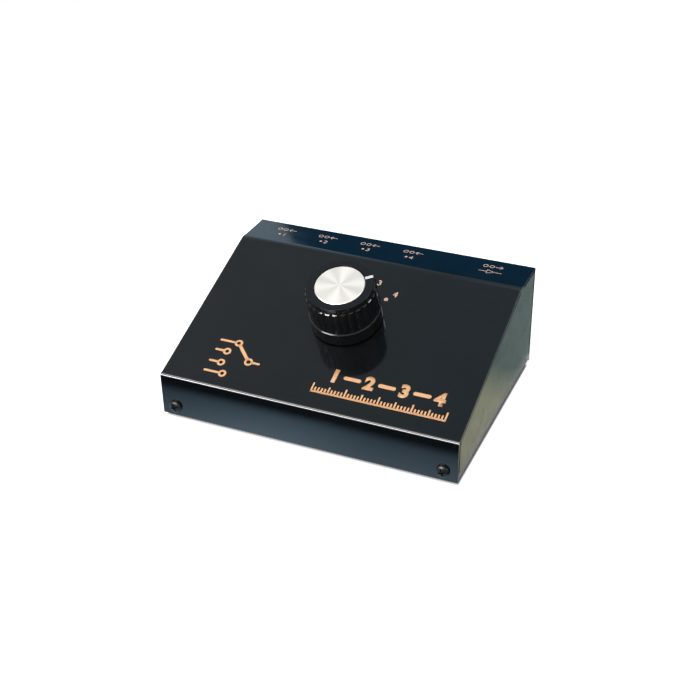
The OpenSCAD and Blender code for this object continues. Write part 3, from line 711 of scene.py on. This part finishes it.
def print_scale(finish):
    """Row of the four position numbers over a ruled scale, right of the front edge's middle."""
    row = Print()
    for k in range(INPUTS):
        x = ROW_X + ROW_STEP * k
        row.number(str(k + 1), x, ROW_Y, ROW_NUMBER_H, ROW_NUMBER_WEIGHT)
        if k < INPUTS - 1:
            start = x + (ROW_STEP - DASH_L) / 2
            row.line(start, ROW_Y, start + DASH_L, ROW_Y, DASH_STROKE)
    for k in range(TICKS):
        x = RULE_X + TICK_STEP * k
        length = next(length for every, length in TICK_LENGTHS if k % every == 0)
        row.line(x, RULE_Y, x, RULE_Y + length, TICK_STROKE)
    row.line(RULE_X, RULE_Y, RULE_X + TICK_STEP * (TICKS - 1), RULE_Y, RULE_STROKE)
    row.put("print_position_row", PANEL, finish["ink_gold"])


# Wiring sign: a hub with its arm and lead, and four contacts with their leads
HUB_X = -33.6
HUB_Y = FRONT_EDGE + 16.6
HUB_R = 1.55
HUB_LEAD = (1.9, 5.0)  # from the hub's middle
CONTACT_ANGLES = (135.0, 165.0, 195.0, 225.0)
CONTACT_AT = 12.6
CONTACT_R = 1.4
CONTACT_GAP = 1.8  # from a contact's middle to its lead
LEAD_END_X = -51.2
LEAD_STROKE = 1.15
RING_STROKE = 1.0
ARM_SPAN = (1.8, 10.9)
ARM_STROKE = 1.5


def print_sign(finish):
    """Plain wiring sign of a one-of-four switch at the left of the slope."""
    sign = Print()
    for angle in CONTACT_ANGLES:
        a = math.radians(angle)
        x, y = HUB_X + CONTACT_AT * math.cos(a), HUB_Y + CONTACT_AT * math.sin(a)
        sign.ring(x, y, CONTACT_R, RING_STROKE)
        sign.line(x - CONTACT_GAP, y, LEAD_END_X, y, LEAD_STROKE)
    sign.ring(HUB_X, HUB_Y, HUB_R, RING_STROKE)
    start, end = (HUB_X + reach for reach in HUB_LEAD)
    sign.line(start, HUB_Y, end, HUB_Y, LEAD_STROKE)
    a = math.radians(CONTACT_ANGLES[0])
    foot, tip = ((HUB_X + r * math.cos(a), HUB_Y + r * math.sin(a)) for r in ARM_SPAN)
    sign.line(*foot, *tip, ARM_STROKE)
    sign.put("print_switch_sign", PANEL, finish["ink_gold"])


# Studio, in metres

FILL = {"Color": (0.93, 0.96, 1.0, 1.0), "Strength": 0.35}
WHITE = {"Color": (1.0, 1.0, 1.0, 1.0), "Strength": 1.0}


def add_world():
    """Soft bluish fill, and plain white for the camera, mirrors and glass."""
    world = bpy.data.worlds.new("studio")
    world.use_nodes = True
    n = Nodes(world.node_tree)
    path = n.add("ShaderNodeLightPath").outputs
    seen = n.math("ADD", path["Is Camera Ray"], path["Is Glossy Ray"], True)
    seen = n.math("ADD", seen, path["Is Transmission Ray"], True)
    fill = n.add("ShaderNodeBackground", FILL)
    white = n.add("ShaderNodeBackground", WHITE)
    mix = n.add("ShaderNodeMixShader", {0: seen, 1: fill.outputs[0], 2: white.outputs[0]})
    n.close(mix.outputs[0], "ShaderNodeOutputWorld")
    bpy.context.scene.world = world


FLOOR_R = 0.7
FLOOR_Z = -0.0002
FLOOR_SIDES = 96
FLOOR_PATCH = 14.0
FLOOR_TONE = (0.83, 0.86)

# Glow of the floor, and the millimetres outside the case between which it sets in
SEEN_GLOW = 0.74
SEEN_FROM = (-3.0, -1.5)
MIRRORED_GLOW = 0.6
MIRRORED_FROM = (2.0, 3.5)
SIDE_STEEPER = 2.3  # how much faster it sets in at the left and right sides
SIDE_OUT = 1.3  # how much later it sets in there


def add_floor():
    """Pale floor that keeps the shadow and glows for the camera and mirrors outside the case."""
    bm = bmesh.new()
    bmesh.ops.create_circle(bm, cap_ends=True, segments=FLOOR_SIDES, radius=FLOOR_R)
    data = bpy.data.meshes.new("studio_floor")
    bm.to_mesh(data)
    bm.free()
    material, n = new_material("studio_floor")
    path = n.add("ShaderNodeLightPath").outputs
    mirrored = n.math("ADD", path["Is Glossy Ray"], path["Is Transmission Ray"], True)
    tone = n.span(n.noise(n.here(), FLOOR_PATCH), *FLOOR_TONE)
    colour = n.add("ShaderNodeCombineColor", {"Red": tone, "Green": tone, "Blue": tone})
    lit = n.add("ShaderNodeBsdfDiffuse", {"Color": colour.outputs["Color"]})
    place = n.parts(n.here())
    across = n.math("SUBTRACT", n.math("ABSOLUTE", place["X"]), CASE_W / 2 * MM)
    across = n.math("SUBTRACT", n.math("MULTIPLY", across, SIDE_STEEPER), SIDE_OUT * MM)
    middle = n.math("ADD", place["Y"], (CASE_D / 2 - Y_REAR) * MM)
    along = n.math("SUBTRACT", n.math("ABSOLUTE", middle), CASE_D / 2 * MM)
    outside = n.math("MAXIMUM", across, along)
    glows = []
    for ray, glow, (start, end) in (
        (path["Is Camera Ray"], SEEN_GLOW, SEEN_FROM),
        (mirrored, MIRRORED_GLOW, MIRRORED_FROM),
    ):
        glows.append(n.math("MULTIPLY", ray, n.span(outside, 0.0, glow, start * MM, end * MM)))
    emission = n.add("ShaderNodeEmission", {"Strength": n.math("ADD", *glows)})
    both = n.add("ShaderNodeAddShader", {0: lit.outputs[0], 1: emission.outputs[0]})
    n.close(both.outputs[0])
    data.materials.append(material)
    floor = bpy.data.objects.new("studio_floor", data)
    floor.location = (0.0, 0.0, FLOOR_Z)
    bpy.context.scene.collection.objects.link(floor)


LAMP_AIM = (0.0, 0.0, 0.03)


def add_lamp(name, place, size, power):
    data = bpy.data.lights.new(name, "AREA")
    data.shape = "RECTANGLE"
    data.size, data.size_y = size
    data.energy = power
    lamp = bpy.data.objects.new(name, data)
    lamp.location = place
    lamp.rotation_euler = (Vector(LAMP_AIM) - Vector(place)).to_track_quat("-Z", "Y").to_euler()
    bpy.context.scene.collection.objects.link(lamp)
    return lamp


def add_lamps():
    """One soft lamp over the front, and lamps for the front bend and the knob's edges."""
    key = add_lamp("key_box", place=(-0.05, -0.50, 1.10), size=(0.8, 0.6), power=10.5)
    key.visible_glossy = False
    # Lamps that only reflections see
    for name, place, size, power in (
        ("strip_box", (-0.42, -1.12, 0.44), (0.80, 0.26), 26.0),
        ("brow_box", (-0.43, -0.79, 0.95), (0.80, 0.16), 8.0),
        ("side_box", (1.00, 0.15, 0.70), (0.40, 0.30), 4.0),
        ("top_box", (-0.06, 0.53, 1.22), (0.16, 0.20), 0.55),
    ):
        lamp = add_lamp(name, place, size, power)
        lamp.visible_diffuse = False


CARD_PATCH = 9.0
CARD_TONE = (0.94, 1.06)
CEILING_Z = 1.3
BROW_Z = 1.295
REAR_Y = 1.3
REAR_LEFT_Y = 1.32
CARDS_RIGHT = 1.6
CARDS_FRONT = -0.1
CAP_CARD_RIGHT = -0.92
FRONT_CARD_Y = (-0.6, -0.0575)
FRONT_CARD_RIGHT = 0.071
SIDE_CARD_LEFT = 0.0725
FLOOR_CARDS_REACH = 0.6
SIDE_CARD_REACH = 0.7


def level_card(x, y, z=0.0):
    """Corners of a level card between two X and two Y places."""
    return [(x[0], y[0], z), (x[1], y[0], z), (x[1], y[1], z), (x[0], y[1], z)]


def upright_card(foot, top, y, z):
    """Corners of an upright card, from the X places of its foot and top and their heights."""
    return [(foot[0], y, z[0]), (foot[1], y, z[0]), (top[1], y, z[1]), (top[0], y, z[1])]


def add_card(name, corners, stops, axis="Y", fades=()):
    """Card that only reflections see, shaded between stops of (coordinate, colour) along an axis.

    Each fade gives two strengths and the two X places between which one turns into the other.
    """
    data = bpy.data.meshes.new(name)
    data.from_pydata(corners, [], [tuple(range(len(corners)))])
    material, n = new_material(name)
    here = n.here()
    place = n.parts(here)
    colour = rgb(stops[0][1])
    for (start, _), (end, next_colour) in zip(stops, stops[1:]):
        share = n.span(place[axis], 0.0, 1.0, start, end)
        colour = n.blend(share, colour, rgb(next_colour))
    strength = n.span(n.noise(here, CARD_PATCH), *CARD_TONE)
    for low, high, start, end in fades:
        strength = n.math("MULTIPLY", strength, n.span(place["X"], low, high, start, end))
    shade = n.add("ShaderNodeEmission", {"Color": colour, "Strength": strength})
    n.close(shade.outputs[0])
    data.materials.append(material)
    card = bpy.data.objects.new(name, data)
    bpy.context.scene.collection.objects.link(card)
    card.visible_camera = False
    card.visible_diffuse = False
    card.visible_shadow = False
    card.visible_transmission = False


def add_high_cards():
    """Cards overhead for the slope, its soft bend and the cap, and behind for the strip."""
    add_card(
        "card_ceiling",
        level_card(x=(CAP_CARD_RIGHT, CARDS_RIGHT), y=(CARDS_FRONT, REAR_Y), z=CEILING_Z),
        stops=[(-0.75, (0.46, 0.50, 0.54)), (-0.25, (0.30, 0.395, 0.455))],
        axis="X",
    )
    add_card(
        "card_brow",
        level_card(x=(-0.75, CARDS_RIGHT), y=(0.54, 0.95), z=BROW_Z),
        stops=[(-0.37, (0.34, 0.42, 0.48)), (-0.29, (0.50, 0.64, 0.73))],
        axis="X",
    )
    add_card(
        "card_cap",
        level_card(x=(-1.8, CAP_CARD_RIGHT), y=(CARDS_FRONT, 1.0), z=CEILING_Z),
        stops=[(-1.1, (1.15, 1.08, 0.96)), (-0.95, (0.5, 0.5, 0.5))],
        axis="X",
    )
    # Dark blue card with a slanting left edge, and the pale card beyond it
    add_card(
        "card_rear",
        upright_card(
            foot=(-0.965, CARDS_RIGHT), top=(-0.485, CARDS_RIGHT), y=REAR_Y, z=(0.0, CEILING_Z)
        ),
        stops=[(0.0, (0.0, 0.115, 0.26))],
    )
    add_card(
        "card_rear_left",
        upright_card(foot=(-2.0, -0.1), top=(-2.0, -0.1), y=REAR_LEFT_Y, z=(0.2, CEILING_Z)),
        stops=[(1.02, (0.76, 1.00, 1.22)), (1.22, (0.42, 0.60, 0.72))],
        axis="Z",
    )


def add_floor_cards():
    """Cards along the floor, seen in the rear bend, the front face and the right side."""
    add_card(
        "card_back",
        level_card(x=(-FLOOR_CARDS_REACH, FLOOR_CARDS_REACH), y=(0.15, 0.68)),
        stops=[(0.0, (0.02, 0.07, 0.12))],
    )
    add_card(
        "card_front",
        level_card(x=(-FLOOR_CARDS_REACH, FRONT_CARD_RIGHT), y=FRONT_CARD_Y),
        stops=[
            (-0.0810, (0.0, 0.01, 0.02)),
            (-0.0745, (0.60, 0.95, 1.22)),
            (-0.062, (1.05, 1.50, 1.85)),
        ],
        fades=[(0.66, 1.16, -0.078, -0.025), (1.0, 0.70, -0.010, 0.024)],
    )
    add_card(
        "card_corner",
        level_card(x=(FRONT_CARD_RIGHT, FLOOR_CARDS_REACH), y=FRONT_CARD_Y),
        stops=[(0.0, (0.02, 0.03, 0.03))],
    )
    add_card(
        "card_right",
        level_card(x=(SIDE_CARD_LEFT, SIDE_CARD_REACH), y=(FRONT_CARD_Y[1], SIDE_CARD_REACH)),
        stops=[
            (-0.0525, (0.04, 0.05, 0.05)),
            (-0.0480, (0.50, 0.56, 0.40)),
            (-0.0340, (0.79, 0.80, 0.58)),
            (0.0120, (0.80, 0.83, 0.61)),
            (0.0400, (0.31, 0.42, 0.39)),
            (0.0900, (0.34, 0.45, 0.43)),
        ],
    )


# Making of the scene

add_camera()
add_world()
add_floor()
add_lamps()
add_high_cards()
add_floor_cards()

finish = make_finishes()
smooth = smooth_group()
for part in frame["record"]["subparts"]:
    node = frame["nodes"][part["node"]]
    node.data.materials.clear()
    node.data.materials.append(finish[part["material_slot"]])
    dress_node(node, smooth, EDGES.get(part["node"], 0.0), part["node"] in SHEETS)

print_dial(finish)
print_strip(finish)
print_scale(finish)
print_sign(finish)
